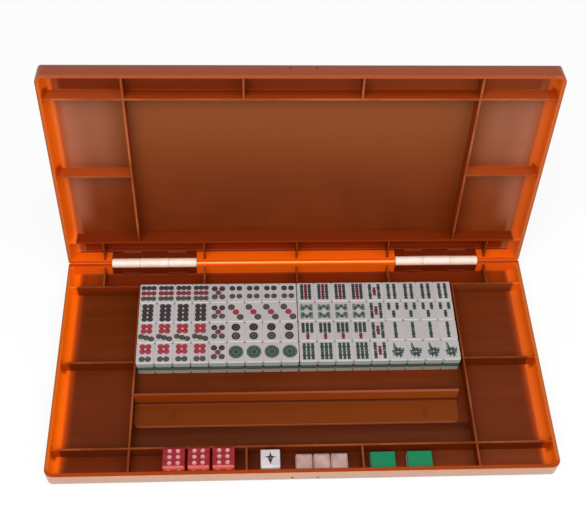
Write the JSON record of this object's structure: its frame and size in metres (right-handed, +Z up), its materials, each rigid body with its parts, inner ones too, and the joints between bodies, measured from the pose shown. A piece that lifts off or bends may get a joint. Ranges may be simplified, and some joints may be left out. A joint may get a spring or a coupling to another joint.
{
  "type": "mahjong case",
  "caption": "Hinged two-tray mahjong case, opened, with ribbed compartments holding two layers of tiles, a tile rack, dice and small loose pieces.",
  "frame": {"origin": "middle of the base tray's flat underside", "axes": "+X along the hinge to the right as the player sits, +Y from the front wall to the hinge, +Z up from the table"},
  "size_m": [0.4, 0.2425, 0.2132],
  "materials": {
    "tray_plastic": "translucent amber-brown injection-moulded plastic, satin gloss",
    "hinge_plastic": "white moulded hinge plastic",
    "pin_steel": "plain steel wire",
    "tile_face": "white acrylic tile face with engraved, painted marks",
    "tile_back": "green acrylic tile back",
    "rack_plastic": "translucent amber-brown moulded plastic, satin gloss",
    "die_plastic": "clear red plastic with white painted pips",
    "wind_cube_plastic": "white plastic with a painted mark",
    "blank_plastic": "frosted pale plastic"
  },
  "bodies": {
    "base": {"base_tray": "tray_plastic", "left_hinge_base_leaf": "hinge_plastic", "left_hinge_pin": "pin_steel", "right_hinge_base_leaf": "hinge_plastic", "right_hinge_pin": "pin_steel"},
    "lid": {"lid_tray": "tray_plastic", "left_hinge_lid_leaf": "hinge_plastic", "right_hinge_lid_leaf": "hinge_plastic"},
    "dot_tiles": {"dot_tile_faces": "tile_face", "dot_tile_backs": "tile_back"},
    "bamboo_tiles": {"bamboo_tile_faces": "tile_face", "bamboo_tile_backs": "tile_back"},
    "lower_left_tiles": {"lower_left_tile_faces": "tile_face", "lower_left_tile_backs": "tile_back"},
    "lower_right_tiles": {"lower_right_tile_faces": "tile_face", "lower_right_tile_backs": "tile_back"},
    "rack": {"tile_rack": "rack_plastic"},
    "left_die": {"left_die": "die_plastic"},
    "middle_die": {"middle_die": "die_plastic"},
    "right_die": {"right_die": "die_plastic"},
    "wind_cube": {"wind_cube": "wind_cube_plastic"},
    "left_blank": {"left_blank": "blank_plastic"},
    "middle_blank": {"middle_blank": "blank_plastic"},
    "right_blank": {"right_blank": "blank_plastic"},
    "left_spare_tile": {"left_spare_tile_face": "tile_face", "left_spare_tile_back": "tile_back"},
    "right_spare_tile": {"right_spare_tile_face": "tile_face", "right_spare_tile_back": "tile_back"}
  },
  "joints": [
    {"name": "lid_hinge", "type": "hinge", "parent": "base", "child": "lid", "pos_m": [0, 0.1001, 0.01505], "axis": [-1, 0, 0], "range_deg": [-98, 82]},
    {"name": "lower_left_tiles_lift", "type": "slide", "parent": "base", "child": "lower_left_tiles", "axis": [0, 0, 1], "range_m": [0, 0.04]},
    {"name": "lower_right_tiles_lift", "type": "slide", "parent": "base", "child": "lower_right_tiles", "axis": [0, 0, 1], "range_m": [0, 0.04]},
    {"name": "dot_tiles_lift", "type": "slide", "parent": "lower_left_tiles", "child": "dot_tiles", "axis": [0, 0, 1], "range_m": [0, 0.04]},
    {"name": "bamboo_tiles_lift", "type": "slide", "parent": "lower_right_tiles", "child": "bamboo_tiles", "axis": [0, 0, 1], "range_m": [0, 0.04]},
    {"name": "rack_lift", "type": "slide", "parent": "base", "child": "rack", "axis": [0, 0, 1], "range_m": [0, 0.04]},
    {"name": "left_die_lift", "type": "slide", "parent": "base", "child": "left_die", "axis": [0, 0, 1], "range_m": [0, 0.04]},
    {"name": "middle_die_lift", "type": "slide", "parent": "base", "child": "middle_die", "axis": [0, 0, 1], "range_m": [0, 0.04]},
    {"name": "right_die_lift", "type": "slide", "parent": "base", "child": "right_die", "axis": [0, 0, 1], "range_m": [0, 0.04]},
    {"name": "wind_cube_lift", "type": "slide", "parent": "base", "child": "wind_cube", "axis": [0, 0, 1], "range_m": [0, 0.04]},
    {"name": "left_blank_lift", "type": "slide", "parent": "base", "child": "left_blank", "axis": [0, 0, 1], "range_m": [0, 0.04]},
    {"name": "middle_blank_lift", "type": "slide", "parent": "base", "child": "middle_blank", "axis": [0, 0, 1], "range_m": [0, 0.04]},
    {"name": "right_blank_lift", "type": "slide", "parent": "base", "child": "right_blank", "axis": [0, 0, 1], "range_m": [0, 0.04]},
    {"name": "left_spare_tile_lift", "type": "slide", "parent": "base", "child": "left_spare_tile", "axis": [0, 0, 1], "range_m": [0, 0.04]},
    {"name": "right_spare_tile_lift", "type": "slide", "parent": "base", "child": "right_spare_tile", "axis": [0, 0, 1], "range_m": [0, 0.04]}
  ]
}
